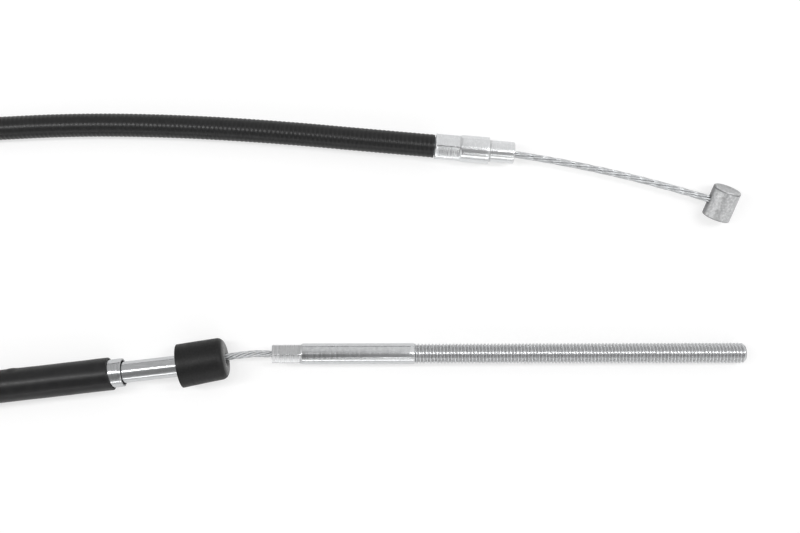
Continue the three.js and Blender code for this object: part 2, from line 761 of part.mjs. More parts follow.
const cable = new THREE.Group();
cable.add(
  ...layer('outer_jacket', ribbedPlastic, JACKET_RADIUS, jacketBore, 0, 0),
  ...layer(
    'steel_conduit',
    springSteel,
    conduitRadius,
    conduitBore,
    SKIRT_LENGTH - SKIRT_FLOOR,
    COLLAR_LENGTH - TUBE_SEAT_DEPTH + RUNNING_GAP,
  ),
  ...layer(
    'liner',
    linerPlastic,
    linerRadius,
    linerBore,
    SKIRT_LENGTH - SKIRT_FLOOR,
    COLLAR_LENGTH - TUBE_SEAT_DEPTH + RUNNING_GAP,
  ),
  ...innerWire(),
  ...TIE_ANGLES.map((degrees, i) => coilTie(`coil_tie_${i + 1}`, degrees)),
  leverFerrule(),
  leverWire(),
  barrelNipple(),
  brakeSleeve(),
  brakeFerrule(),
  guideTube(),
  dustBoot(),
  brakeWire(),
  adjusterRod(),
);

export default cable;
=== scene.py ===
"""Control cable for a drum brake: the looks of its housing, fittings, wires, boot and rod.

Places are in the part's frame, +Z up. Sizes are written in millimetres, and become metres
where a mesh is made.
"""

import math

import bmesh
import bpy
from mathutils import Matrix, Vector, noise


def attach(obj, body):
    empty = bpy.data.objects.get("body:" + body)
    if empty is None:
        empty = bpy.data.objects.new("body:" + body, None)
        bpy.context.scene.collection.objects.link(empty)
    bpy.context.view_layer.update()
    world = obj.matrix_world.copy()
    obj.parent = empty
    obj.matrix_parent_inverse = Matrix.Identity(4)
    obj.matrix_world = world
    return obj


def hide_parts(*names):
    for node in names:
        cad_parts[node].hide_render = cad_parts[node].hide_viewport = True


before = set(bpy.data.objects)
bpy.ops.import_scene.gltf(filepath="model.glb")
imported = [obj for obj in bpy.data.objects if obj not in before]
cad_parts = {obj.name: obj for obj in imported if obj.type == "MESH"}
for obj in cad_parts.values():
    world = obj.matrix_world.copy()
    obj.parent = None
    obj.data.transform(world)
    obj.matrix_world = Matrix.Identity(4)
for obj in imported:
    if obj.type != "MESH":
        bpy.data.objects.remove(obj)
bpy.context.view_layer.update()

MM = 0.001
SAME_PLACE = 1e-7            # metres
TURN = 2 * math.pi
UP = Vector((0, 0, 1))

# ------------------------ sizes, as in the part's source

FIELD_MIDDLE = Vector((17.544, 1.646, 0))

JACKET_RADIUS = 3.25
JACKET_BORE = 2.8
NESTING_GAP = 0.2            # between the layers, and round the collar
CONDUIT_RADIUS = JACKET_BORE - NESTING_GAP
CONDUIT_BORE = 2.05
LINER_RADIUS = CONDUIT_BORE - NESTING_GAP
LINER_BORE = 1.6
WIRE_RADIUS = 1.0
SEAT_RADIUS = 2.9
GAP = 0.3                    # round pressed and sliding pieces

COIL_TURNS = 2.5
COIL_RADIUS = 41
COIL_PITCH = 7.1
COIL_MIDDLE = Vector((-188, -2.6, 0))
COIL_LEAD = 6.5
COIL_PARTS = 120             # to a turn
LOWER_LAYER = 4.55
FIRST_DEGREES = 90
LAST_DEGREES = FIRST_DEGREES + 360 * COIL_TURNS
TURNING_DEGREES = (FIRST_DEGREES + LAST_DEGREES) / 2
CLIMB_DEGREES = 180
TIE_THICKNESS = 1.0
TIE_WIDTH = 3.5
TIE_ANGLES = (0, 180)

LEVER_HEIGHT = 5.39447
LEVER_NOSE_END = (32.6, 32.42)
LEVER_AXIS_DEGREES = -5.05
SKIRT_LENGTH = 15.4
SKIRT_RADIUS = 3.85
NOSE_LENGTH = 7.2
NOSE_RADIUS = 3.1
FERRULE_LENGTH = SKIRT_LENGTH + NOSE_LENGTH
FERRULE_SEAT = SKIRT_LENGTH - 1.5
WIRE_EXIT_DEGREES = -8.6
WIRE_LEAN = 0.3
WIRE_BEND = 380
WIRE_REACH = 61.1
WIRE_TAIL = 13
NIPPLE_RADIUS = 4.0
NIPPLE_LENGTH = 9.0
NIPPLE_TILT_DEGREES = 22

BRAKE_HEIGHT = 6.1
BRAKE_AXIS_POINT = (-97.14, -32.3)
BRAKE_AXIS_DEGREES = 6.6
COLLAR_START = 6.4
COLLAR_FACE = 18.4
COLLAR_RADIUS = 4.05
TUBE_START = 12.3
COLLAR_SEAT = TUBE_START - GAP
TUBE_RADIUS = 3.05
TUBE_BORE = 2.25
TUBE_MOUTH = 44.4
SLEEVE_START = -37.0
SLEEVE_END = 14.9
SLEEVE_RADIUS = 4.7
BOOT_MOUTH = 34.3
BOOT_LENGTH = 14.3
BOOT_LEAN_DEGREES = 3.6

ROD_START = (-36.4, -24.95)
ROD_START_HEIGHT = 5.98
ROD_SLOPE = 0.0223673
NECK_LENGTH = 8.7
NECK_FLAT = 2.55
NECK_BORE_DEPTH = 8.0
SHANK_RADIUS = 3.0
SHANK_LENGTH = 32.0
THREAD_RADIUS = 2.925
THREAD_ROOT = 2.40
THREAD_PITCH = 1.0
THREAD_LENGTH = 95.0

# ------------------------ camera

PHOTO_SCALE = 3.5            # pixels of the photograph to a millimetre
PHOTO_WIDTH = 800
LENS = 47.0
SENSOR = 36.0
FOCUS_HEIGHT = 5.7           # the height at which that scale holds


def new_object(name, data):
    thing = bpy.data.objects.new(name, data)
    bpy.context.scene.collection.objects.link(thing)
    return thing


def add_camera():
    """Straight above the middle of the photographed field."""
    data = bpy.data.cameras.new("camera")
    data.lens = LENS
    data.sensor_width = SENSOR
    camera = new_object("camera", data)
    distance = PHOTO_WIDTH / PHOTO_SCALE * LENS / SENSOR
    x, y, _ = FIELD_MIDDLE
    camera.location = Vector((x, y, FOCUS_HEIGHT + distance)) * MM
    bpy.context.scene.camera = camera


add_camera()

# ------------------------ places and directions


def at(x, y, z):
    """A point of the photographed field, at a height, in the part's frame."""
    return Vector((x, y, z)) + FIELD_MIDDLE


def heading(degrees):
    """The level direction at an angle from +X."""
    angle = math.radians(degrees)
    return Vector((math.cos(angle), math.sin(angle), 0))


def left_of(direction):
    """The level direction to the left of another."""
    return Vector((-direction.y, direction.x, 0)).normalized()


def placed(origin, x, y):
    """The matrix that puts a piece's +X and +Y along two directions."""
    matrix = Matrix((x, y, x.cross(y))).transposed().to_4x4()
    matrix.translation = origin
    return matrix


def standing(origin, x):
    """The matrix that puts a piece's +X along a direction and its +Z near up."""
    return placed(origin, x, UP.cross(x).normalized())


lever_axis = heading(LEVER_AXIS_DEGREES)
lever_nose = at(*LEVER_NOSE_END, LEVER_HEIGHT)
lever_mouth = lever_nose - FERRULE_LENGTH * lever_axis
brake_axis = heading(BRAKE_AXIS_DEGREES)
brake_point = at(*BRAKE_AXIS_POINT, BRAKE_HEIGHT)
rod_axis = Vector((math.cos(ROD_SLOPE), 0, -math.sin(ROD_SLOPE)))
rod_start = at(*ROD_START, ROD_START_HEIGHT)


def on_brake_axis(place, offset=0.0, rise=0.0):
    """The point at a place along the brake axis, and beside it by an offset to the left."""
    return brake_point + place * brake_axis + offset * left_of(brake_axis) + rise * UP


def smooth(x, low=0.0, high=1.0):
    """0 below low, 1 above high, and an even S between them."""
    t = min(max((x - low) / (high - low), 0.0), 1.0)
    return t * t * (3 - 2 * t)


def angles(columns):
    """Even angles round a circle, from its bottom, where a seam hides."""
    return [TURN * j / columns - TURN / 4 for j in range(columns)]


def round_point(place, reach, angle):
    """The point at a place along +X and at a reach from it, an angle from +Y towards +Z."""
    return Vector((place, reach * math.cos(angle), reach * math.sin(angle)))


def reach_of(point):
    """How far a point is from +X."""
    return math.hypot(point.y, point.z)


# ------------------------ routes


def curve_through(points, parts=24):
    """A centripetal Catmull-Rom curve through points, as a fine line."""
    first = 2 * points[0] - points[1]
    last = 2 * points[-1] - points[-2]
    padded = [first, *points, last]
    line = []
    for a, b, c, d in zip(padded, padded[1:], padded[2:], padded[3:]):
        ab, bc, cd = ((q - p).length ** 0.5 for p, q in ((a, b), (b, c), (c, d)))
        start = ((b - a) / ab - (c - a) / (ab + bc) + (c - b) / bc) * bc
        end = ((c - b) / bc - (d - b) / (bc + cd) + (d - c) / cd) * bc
        for i in range(parts):
            t = i / parts
            line.append(
                b * (2 * t**3 - 3 * t**2 + 1)
                + start * (t**3 - 2 * t**2 + t)
                + c * (3 * t**2 - 2 * t**3)
                + end * (t**3 - t**2)
            )
    return [*line, points[-1]]


def distances(line):
    """How far each point of a line is along it."""
    along = [0.0]
    for p, q in zip(line, line[1:]):
        along.append(along[-1] + (q - p).length)
    return along


def spaced(line, step, start=0.0, end=None):
    """Points a step apart, or a little less, on the stretch of a line from start to end."""
    along = distances(line)
    end = along[-1] if end is None else end
    count = max(1, math.ceil((end - start) / step))
    points = []
    i = 0
    for k in range(count + 1):
        wanted = start + (end - start) * k / count
        while i < len(line) - 2 and along[i + 1] < wanted:
            i += 1
        share = (wanted - along[i]) / (along[i + 1] - along[i])
        points.append(line[i].lerp(line[i + 1], share))
    return points


def coil_point(degrees):
    """The coil spirals in on its lower layer, climbs, and spirals out on its upper one."""
    from_turn = abs(degrees - TURNING_DEGREES)
    inward = (TURNING_DEGREES - FIRST_DEGREES - from_turn) / 360
    radius = COIL_RADIUS - COIL_PITCH * inward
    climbed = smooth((degrees - TURNING_DEGREES) / CLIMB_DEGREES + 0.5)
    point = radius * heading(degrees) + COIL_MIDDLE
    return at(point.x, point.y, LOWER_LAYER + COIL_PITCH * climbed)


def coil_route():
    steps = round(COIL_TURNS * COIL_PARTS)
    turns = [coil_point(FIRST_DEGREES + 360 * COIL_TURNS * i / steps) for i in range(steps + 1)]
    lead = Vector((COIL_LEAD, 0, 0))
    return [turns[0] + lead, *turns, turns[-1] + lead]


# Places in the field, and heights above the coil's lower layer
LEVER_CURVE = (
    (-57.1, 39.75, 0.65), (-71.4, 40.3, 0.5), (-85.7, 40.5, 0.4), (-100, 40.25, 0.3),
    (-114.3, 39.6, 0.2), (-129, 38.95, 0.15), (-144, 38.5, 0.1), (-160, 38.4, 0.05),
)


def lever_route(coil_start):
    """From the lever ferrule's mouth, along the photographed curve, to the coil."""
    return curve_through([
        *(lever_mouth - back * lever_axis for back in (GAP, 12, 24, 38)),
        at(-42.9, 38.9, LEVER_HEIGHT - 0.1),
        *(at(x, y, LOWER_LAYER + rise) for x, y, rise in LEVER_CURVE),
        at(-174, COIL_MIDDLE.y + COIL_RADIUS, LOWER_LAYER),
        coil_start,
    ])


def brake_route(coil_end):
    """From the coil to the collar, the last of it straight inside the sleeve."""
    bottom = COIL_MIDDLE.y - COIL_RADIUS
    top_layer = LOWER_LAYER + COIL_PITCH
    return curve_through([
        coil_end,
        at(-175, bottom + 0.1, top_layer - 0.2),
        at(-165, bottom + 1.3, top_layer - 1.3),
        at(-155, bottom + 3.2, BRAKE_HEIGHT + 2.3),
        on_brake_axis(-48.5, -0.35, 0.55),
        *(on_brake_axis(place) for place in (-38.5, -28, -16, -4)),
        on_brake_axis(COLLAR_START - GAP),
    ])


coil_line = coil_route()
lever_line = lever_route(coil_line[0])
brake_line = brake_route(coil_line[-1])
housing_line = [*lever_line, *coil_line[1:-1], *brake_line]
HOUSING_LENGTH = distances(housing_line)[-1]

# ------------------------ meshes


def steps_of(line):
    """Each point of a line with the level and rising directions square to it."""
    frames = []
    for i, point in enumerate(line):
        tangent = (line[min(i + 1, len(line) - 1)] - line[max(i - 1, 0)]).normalized()
        side = UP.cross(tangent).normalized()
        frames.append((point, side, tangent.cross(side)))
    return frames


def ring(point, side, top, radii):
    """A closed ring of points round another, each at its own radius."""
    return [
        point + radius * (math.cos(angle) * side + math.sin(angle) * top)
        for angle, radius in zip(angles(len(radii)), radii)
    ]


def turned_rings(outline, columns, shape=None, gather=0.0):
    """Rings about +X for an outline of (place, radius) pairs. A shape changes each radius.

    Gathered columns stand closer together at the six edges of a bar with an edge on top.
    """
    rings = []
    for place, radius in outline:
        one = []
        for angle in angles(columns):
            angle += gather * math.sin(6 * angle) / 6
            reach = shape(place, radius, angle) if shape else radius
            one.append(round_point(place, reach, angle))
        rings.append(one)
    return rings


def close_ends(points, faces, places, columns, first, last):
    """Adds a face at each end of a surface, with one texture place for all its corners."""
    base = len(points) - columns
    faces += [tuple(range(columns - 1, -1, -1)), tuple(range(base, len(points)))]
    places += [(first,) * columns, (last,) * columns]


def skin(rings, looped=False):
    """The surface through rings: its points, its faces, and each face's texture places.

    A texture place is in millimetres along the rings and round them. Where the rings aren't
    looped back to the first, a face closes each end.
    """
    columns = len(rings[0])
    points = [point for one in rings for point in one]
    centres = [sum(one, Vector()) / columns for one in rings]
    along = [0.0]
    girth = TURN * max((rings[0][0] - centres[0]).length, 0.5)
    for i in range(1, len(rings)):
        along.append(along[-1] + (rings[i][0] - rings[i - 1][0]).length)
    faces = []
    places = []
    last = len(rings) if looped else len(rings) - 1
    for i in range(last):
        below = i * columns
        above = (i + 1) % len(rings) * columns
        u, v = along[i], along[(i + 1) % len(rings)]
        for j in range(columns):
            k = (j + 1) % columns
            faces.append((below + j, below + k, above + k, above + j))
            s, t = girth * j / columns, girth * (j + 1) / columns
            places.append(((u, s), (u, t), (v, t), (v, s)))
    if not looped:
        close_ends(points, faces, places, columns, (along[0], 0.0), (along[-1], 0.0))
    return points, faces, places


def joined(*skins):
    """Several surfaces as one."""
    points = []
    faces = []
    places = []
    for more_points, more_faces, more_places in skins:
        start = len(points)
        points.extend(more_points)
        faces.extend(tuple(start + i for i in face) for face in more_faces)
        places.extend(more_places)
    return points, faces, places


def merge_shared_points(mesh):
    """Makes one point of those that coincide, and drops the faces that this leaves empty."""
    shape = bmesh.new()
    shape.from_mesh(mesh)
    bmesh.ops.remove_doubles(shape, verts=shape.verts, dist=SAME_PLACE)
    shape.to_mesh(mesh)
    shape.free()


def piece(
    name, surface, finish, slot, stands_for, matrix=None, body="housing", sharp=32, mark=None
):
    """An object from a surface in millimetres, riding on a body in place of CAD nodes.

    Where it is given, the last argument says how much painted light or shade each point takes,
    from 0 to 1.
    """
    points, faces, places = surface
    matrix = matrix or Matrix.Identity(4)
    mesh = bpy.data.meshes.new(name)
    mesh.from_pydata([MM * (matrix @ point) for point in points], [], faces)
    flat = [value for face in places for place in face for value in place]
    mesh.uv_layers.new(name="place").data.foreach_set("uv", flat)
    if mark:
        # painted light and shade, kept as a layer of the mesh
        painted_layer = mesh.attributes.new("mark", "FLOAT", "POINT")
        painted_layer.data.foreach_set("value", [mark(point) for point in points])
    merge_shared_points(mesh)
    mesh.polygons.foreach_set("use_smooth", [True] * len(mesh.polygons))
    mesh.set_sharp_from_angle(angle=math.radians(sharp))
    mesh.materials.append(finish.material)
    mesh.validate()
    mesh.update()
    thing = new_object(name, mesh)
    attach(thing, body)
    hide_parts(*stands_for)
    return thing


# ------------------------ materials


def grey(value):
    return (value, value, value, 1)


def steel(value):
    """A slightly blue grey."""
    return (value, value + 0.01, value + 0.02)


class Nodes:
    """The node tree of a material or a world, and short ways to fill it."""

    def __init__(self, owner):
        owner.use_nodes = True
        self.tree = owner.node_tree

    def feed(self, target, value):
        """Gives an input a constant, or a link from an output or a node's first output."""
        if isinstance(value, bpy.types.Node):
            value = value.outputs[0]
        if isinstance(value, bpy.types.NodeSocket):
            self.tree.links.new(value, target)
        else:
            target.default_value = value

    def node(self, kind, *values, **settings):
        """A new node. Its settings are its properties or its inputs, by name.

        Values go to the inputs in their order.
        """
        made = self.tree.nodes.new("ShaderNode" + kind)
        for name, value in settings.items():
            if hasattr(made, name):
                setattr(made, name, value)
            else:
                self.feed(made.inputs[name.replace("_", " ")], value)
        for target, value in zip(made.inputs, values):
            self.feed(target, value)
        return made

    def ramp(self, source, stops):
        """A ramp of greys or colours, from (place, value) pairs."""
        made = self.node("ValToRGB", Fac=source)
        elements = made.color_ramp.elements
        while len(elements) < len(stops):
            elements.new(0.5)
        for element, (place, value) in zip(elements, stops):
            element.position = place
            element.color = (*value, 1) if isinstance(value, tuple) else grey(value)
        return made

    def rise(self, source, low, high, **ends):
        """An even S from 0 to 1, or between given ends, as a source goes from low to high."""
        ends.update(Value=source, From_Min=low, From_Max=high)
        return self.node("MapRange", interpolation_type="SMOOTHSTEP", **ends)

    def mixed(self, share, first, second, kind="RGBA"):
        """What gives way from a first value to a second as a share goes from 0 to 1."""
        made = self.node("Mix", data_type=kind, Factor=share, A=first, B=second)
        return made.outputs["Result"]


class Finish(Nodes):
    """A material, its shader with some constants, and short ways to wire noise to it."""

    def __init__(self, name, **constants):
        self.material = bpy.data.materials.new(name)
        super().__init__(self.material)
        self.shader = self.tree.nodes["Principled BSDF"]
        self.relief = None
        for socket, value in constants.items():
            self.shader.inputs[socket.replace("_", " ")].default_value = value

    def spots(self, scale, stretch=(1, 1, 1), detail=3.0, by_place=False):
        """Noise with about scale features to the millimetre."""
        where = self.node("TexCoord").outputs["UV" if by_place else "Object"]
        unit = 1 if by_place else 1 / MM
        mapping = self.node("Mapping", Vector=where, Scale=[scale * unit * s for s in stretch])
        return self.node("TexNoise", Vector=mapping, Scale=1.0, Detail=detail)

    def pattern(self, source):
        """Noise that is there, or plain spots for a number."""
        return self.spots(source) if isinstance(source, (int, float)) else source

    def follow(self, socket, source, values, low=0.3, high=0.7):
        """Leads an input of the shader through values as noise goes from low to high."""
        step = (high - low) / (len(values) - 1)
        stops = [(low + i * step, value) for i, value in enumerate(values)]
        self.feed(self.shader.inputs[socket], self.ramp(self.pattern(source), stops))

    def color(self, source, *values, **ends):
        self.follow("Base Color", source, values, **ends)

    def roughness(self, source, *values, **ends):
        self.follow("Roughness", source, values, **ends)

    def paint_light_and_shade(self, color, rough):
        """Paints colour towards a shade or a light, and turns roughness towards another value,
        where the mesh carries painted light and shade.
        """
        mark = self.node("Attribute", attribute_name="mark").outputs["Fac"]
        for socket, kind, value in (
            ("Base Color", "RGBA", (*color, 1)),
            ("Roughness", "FLOAT", rough),
        ):
            target = self.shader.inputs[socket]
            self.feed(target, self.mixed(mark, target.links[0].from_socket, value, kind))

    def bump(self, source, strength, depth):
        """Relief of a depth in millimetres, over any that is there already."""
        settings = {"Strength": strength, "Distance": depth * MM, "Height": self.pattern(source)}
        if self.relief:
            settings["Normal"] = self.relief
        self.relief = self.node("Bump", **settings)
        self.feed(self.shader.inputs["Normal"], self.relief)


JACKET = Finish("ribbed_plastic", Specular_IOR_Level=0.38)
JACKET.color(0.8, (0.007, 0.007, 0.0073), (0.012, 0.012, 0.0124))
JACKET.roughness(2.5, 0.29, 0.38)
JACKET.bump(7, 0.25, 0.02)

SLEEVE = Finish("smooth_sleeve", Specular_IOR_Level=0.34)
SLEEVE.color(0.35, (0.008, 0.008, 0.0085), (0.014, 0.014, 0.0145))
SLEEVE.roughness(1.2, 0.32, 0.42)
SLEEVE.bump(0.5, 0.3, 0.08)
SLEEVE.bump(6, 0.2, 0.02)

BOOT = Finish("boot_rubber", Specular_IOR_Level=0.30)
BOOT.color(2.2, (0.005, 0.005, 0.0052), (0.012, 0.012, 0.0122), low=0.35)
BOOT.roughness(BOOT.spots(1.4, (1, 0.15, 1), by_place=True), 0.40, 0.50)
# painted reflection: the end face is painted lighter, and made glossier
BOOT.paint_light_and_shade((0.11, 0.11, 0.11), 0.20)
BOOT.bump(9, 0.4, 0.03)

LINER = Finish("liner_plastic", Roughness=0.45)
LINER.color(0.6, (0.68, 0.66, 0.60), (0.76, 0.74, 0.68))

TIE = Finish("tie_plastic")
TIE.color(0.7, (0.016, 0.016, 0.017), (0.026, 0.026, 0.027))
TIE.roughness(2, 0.34, 0.46)
TIE.bump(5, 0.3, 0.02)

SPIRAL = Finish("spiral_steel", Metallic=1.0, Roughness=0.4)
SPIRAL.color(1.0, steel(0.24), steel(0.36))

STRAND = Finish("stranded_steel", Metallic=1.0)
STRAND.color(1.5, steel(0.54), steel(0.70))
STRAND.roughness(3, 0.41, 0.54)

FERRULE = Finish("plated_ferrule", Metallic=1.0)
turned = FERRULE.spots(1.0, (2.6, 0.35, 1), by_place=True)
FERRULE.color(0.9, steel(0.77), steel(0.84))
FERRULE.roughness(turned, 0.14, 0.28, low=0.35, high=0.65)
# painted shade inside the ferrule and in the corner at the nose's root
FERRULE.paint_light_and_shade((0.30, 0.30, 0.30), 0.5)
FERRULE.bump(FERRULE.spots(2.4, (0.6, 1, 1)), 0.2, 0.025)
FERRULE.bump(turned, 0.22, 0.02)

COLLAR = Finish("plated_collar", Metallic=1.0)
turned = COLLAR.spots(1.0, (3.5, 0.3, 1), by_place=True)
COLLAR.color(turned, steel(0.55), steel(0.70))
COLLAR.roughness(1.5, 0.13, 0.24)
# painted shade, nearly black, on the end face round the tube and inside the bore
COLLAR.paint_light_and_shade((0.04, 0.04, 0.04), 0.6)
COLLAR.bump(turned, 0.12, 0.02)

TUBE = Finish("drawn_tube", Metallic=1.0)
lines = TUBE.spots(3.0, (0.12, 1.3, 1), by_place=True)
TUBE.color(lines, steel(0.60), steel(0.72))
TUBE.roughness(1.6, 0.14, 0.21)
TUBE.bump(lines, 0.2, 0.015)

ROD = Finish("plated_rod", Metallic=1.0)
turned = ROD.spots(1.0, (3.2, 0.35, 1), by_place=True)
ROD.color(1.1, steel(0.64), steel(0.75))
ROD.roughness(turned, 0.11, 0.27)
# painted shade in the thread's grooves and in the ring grooves; the neck and its bore are darker
# all over
ROD.paint_light_and_shade((0.52, 0.52, 0.525), 0.38)
ROD.bump(turned, 0.2, 0.025)

ZINC = Finish("cast_zinc", Metallic=0.85)
greys = ((0.48, 0.485, 0.49), (0.58, 0.585, 0.59), (0.76, 0.765, 0.77))
ZINC.color(ZINC.spots(1.7, detail=5.0), *greys)
ZINC.roughness(1.7, 0.36, 0.56)
# painted shade on the nipple, and a painted highlight left light on its top face
ZINC.paint_light_and_shade((0.20, 0.20, 0.205), 0.6)
ZINC.bump(ZINC.spots(2.8, detail=4.0), 0.5, 0.08)

# ------------------------ the housing

RIB_PITCH = 1.245
RIB_RISE = 0.08
RIB_DEPTH = 0.10
RIB_STEPS = 5
JACKET_COLUMNS = 24
LAYER_COLUMNS = 16
LAYER_STEP = 2.5
PATH_STEP = 5


def runs(layer):
    """The CAD names of a layer of the housing."""
    return [f"{layer}_{run}" for run in ("lever_run", "coil", "brake_run")]


def rib_radius(distance, angle):
    """The jacket follows the wound steel under it, in one helical rib."""
    phase = TURN * distance / RIB_PITCH - angle
    return JACKET_RADIUS + RIB_RISE - RIB_DEPTH * (0.5 - 0.5 * math.cos(phase)) ** 1.5


def outer_jacket():
    line = spaced(housing_line, RIB_PITCH / RIB_STEPS)
    step = HOUSING_LENGTH / (len(line) - 1)
    outside = []
    for i, one in enumerate(steps_of(line)):
        turns = (TURN * j / JACKET_COLUMNS for j in range(JACKET_COLUMNS))
        outside.append(ring(*one, [rib_radius(i * step, angle) for angle in turns]))
    coarse = steps_of(spaced(housing_line, 4 * RIB_PITCH))
    inside = [ring(*one, [JACKET_BORE] * JACKET_COLUMNS) for one in reversed(coarse)]
    surface = skin(outside + inside, True)
    return piece("ribbed_jacket", surface, JACKET, "ribbed_jacket", runs("outer_jacket"))


def inner_layer(name, radius, bore, finish, slot, cad_name):
    """A tube inside the jacket, running on into the ferrule and the collar."""
    into_ferrule = lever_mouth + FERRULE_SEAT * lever_axis
    line = spaced([into_ferrule, *housing_line, on_brake_axis(COLLAR_SEAT)], LAYER_STEP)
    steps = steps_of(line)
    outside = [ring(*one, [radius] * LAYER_COLUMNS) for one in steps]
    inside = [ring(*one, [bore] * LAYER_COLUMNS) for one in reversed(steps)]
    return piece(name, skin(outside + inside, True), finish, slot, runs(cad_name))


CORE_STEP = 1.3
CORE_COLUMNS = 18
CORE_LAY = 17.0
CORE_START = 28.4            # along the housing, where the lever end's wire stops
CORE_END = HOUSING_LENGTH - 39.7


def core_wire():
    """The middle of the inner wire, between the ends that move, as one ribbed bar."""
    line = spaced(housing_line, CORE_STEP, CORE_START, CORE_END)
    rings = []
    for i, one in enumerate(steps_of(line)):
        turns = (j / CORE_COLUMNS - CORE_STEP * i / CORE_LAY for j in range(CORE_COLUMNS))
        radii = [WIRE_RADIUS * (0.93 + 0.07 * math.cos(6 * TURN * turn)) for turn in turns]
        rings.append(ring(*one, radii))
    return piece("core_wire", skin(rings), STRAND, "stranded_steel", runs("inner_wire"))


TIE_EDGE = 0.15              # broken off its edges
TIE_CORNER = 0.6             # inside


def rounded_box(low, high, margin, corner, parts=5):
    """Points round a box with round corners, grown by a margin."""
    left, right = low.x + corner, high.x - corner
    bottom, top = low.y + corner, high.y - corner
    points = []
    for k, (x, y) in enumerate(((right, top), (left, top), (left, bottom), (right, bottom))):
        for i in range(parts + 1):
            away = (corner + margin) * heading(90 * (k + i / parts))
            points.append((x + away.x, y + away.y))
    return points


def coil_tie(number, degrees):
    """A flat tie round the loops on one side of the coil."""
    turns = range(degrees, int(LAST_DEGREES) + 1, 360)
    turns = [turn for turn in turns if turn >= FIRST_DEGREES]
    middle = at(COIL_MIDDLE.x, COIL_MIDDLE.y, 0)
    near = [coil_point(turn) - middle for turn in turns]
    radii = [math.hypot(point.x, point.y) for point in near]
    heights = [point.z for point in near]
    room = JACKET_RADIUS + GAP
    low = Vector((min(radii) - room, min(heights) - room))
    high = Vector((max(radii) + room, max(heights) + room))
    half = TIE_WIDTH / 2
    section = [
        (-half + TIE_EDGE, TIE_THICKNESS),
        (-half, TIE_THICKNESS - TIE_EDGE),
        (-half, TIE_EDGE),
        (-half + TIE_EDGE, 0),
    ]
    section += [(-across, margin) for across, margin in reversed(section)]
    rings = []
    for across, margin in section:
        outline = rounded_box(low, high, margin, TIE_CORNER)
        rings.append([Vector((x, across, z)) for x, z in outline])
    matrix = Matrix.Translation(middle) @ Matrix.Rotation(math.radians(degrees), 4, "Z")
    node = f"coil_tie_{number}"
    return piece(f"tie_{number}", skin(rings, True), TIE, "tie_plastic", [node], matrix)


jacket = outer_jacket()
conduit = inner_layer(
    "wound_conduit", CONDUIT_RADIUS, CONDUIT_BORE, SPIRAL, "spiral_steel", "steel_conduit"
)
liner = inner_layer(
    "low_friction_liner", LINER_RADIUS, LINER_BORE, LINER, "liner_plastic", "liner"
)
core = core_wire()
ties = [coil_tie(i + 1, degrees) for i, degrees in enumerate(TIE_ANGLES)]
[point * MM for point in spaced(housing_line, PATH_STEP)]

# ------------------------ wires

LOBES = 6
STRANDS = 6
STRAND_RADIUS = 1.03 * WIRE_RADIUS / 3
STRAND_STEP = 0.35
SPLAY_LENGTH = 9.0           # from the wire's end in the nipple


def strand(line, step, round_radius, start_angle, lays, splay):
    """One strand of a wire rope, wound round the line, its own wires wound the other way.

    Lays are the lengths of one turn of the strand and of one turn of its wires. Near the
    line's end it splays out from its neighbours, where a splay is given.
    """
    centres = []
    for i, (point, side, top) in enumerate(steps_of(line)):
        angle = start_angle - TURN * i * step / lays[0]
        left = (len(line) - 1 - i) * step
        reach = round_radius * (1 + splay * smooth(SPLAY_LENGTH - left, 0, SPLAY_LENGTH - 3))
        centres.append(point + reach * (math.cos(angle) * side + math.sin(angle) * top))
    rings = []
    for i, one in enumerate(steps_of(centres)):
        radii = []
        for j in range(3 * LOBES):
            angle = TURN * j / (3 * LOBES) - TURN * i * step / lays[1]
            radii.append(STRAND_RADIUS * (0.86 + 0.14 * math.cos(LOBES * angle)))
        rings.append(ring(*one, radii))
    return skin(rings)


def wire_rope(name, line, body, node, lays, splay=0.0):
    """Six strands round a seventh."""
    points = spaced(line, STRAND_STEP)
    step = distances(points)[-1] / (len(points) - 1)
    strands = [strand(points, step, 0.0, 0.0, lays, 0.0)]
    for i in range(STRANDS):
        start = TURN * i / STRANDS
        strands.append(strand(points, step, WIRE_RADIUS - STRAND_RADIUS, start, lays, splay))
    surface = joined(*strands)
    piece(name, surface, STRAND, "stranded_steel", [node], body=body, sharp=80)


def lever_wire_point(distance):
    """The bare wire bends on one long arc, so it slides along itself as it is pulled."""
    exit_heading = heading(WIRE_EXIT_DEGREES)
    leaves = lever_nose - WIRE_LEAN * left_of(lever_axis)
    centre = leaves - WIRE_BEND * left_of(exit_heading)
    degrees = WIRE_EXIT_DEGREES - math.degrees(distance / WIRE_BEND)
    return centre + WIRE_BEND * left_of(heading(degrees))


WIRE_END = WIRE_REACH + 1.2  # inside the nipple
LINE_PARTS = 60
lever_wire_line = [
    lever_wire_point(-WIRE_TAIL + (WIRE_END + WIRE_TAIL) * i / LINE_PARTS)
    for i in range(LINE_PARTS + 1)
]
wire_rope(
    "lever_strands", lever_wire_line, "lever_end", "lever_wire", lays=(34.0, 24.0), splay=0.15
)

WIRE_DROOP = 0.0011          # how fast its slope grows, past the guide tube's mouth
# Places past the mouth, and how far the wire is to the left of the tube's axis there
WIRE_OFFSETS = (
    (-22, 0), (-17, 0.06), (-12, 0.24), (-7, 0.52), (-2, 0.78),
    (2, 0.93), (6, 1.02), (9, 1.03), (12, 0.94),
)
brake_wire_line = curve_through([
    on_brake_axis(TUBE_MOUTH - 70),
    on_brake_axis(TUBE_MOUTH - 32),
    on_brake_axis(TUBE_MOUTH - 27),
    *(
        on_brake_axis(TUBE_MOUTH + past, offset, -WIRE_DROOP * max(past, 0) ** 2 / 2)
        for past, offset in WIRE_OFFSETS
    ),
    *(rod_start + past * rod_axis for past in (-1.2, 0.5, 4, NECK_BORE_DEPTH - GAP)),
])
wire_rope("brake_strands", brake_wire_line, "rod", "brake_wire", lays=(15.0, 7.0))

# ------------------------ lever end

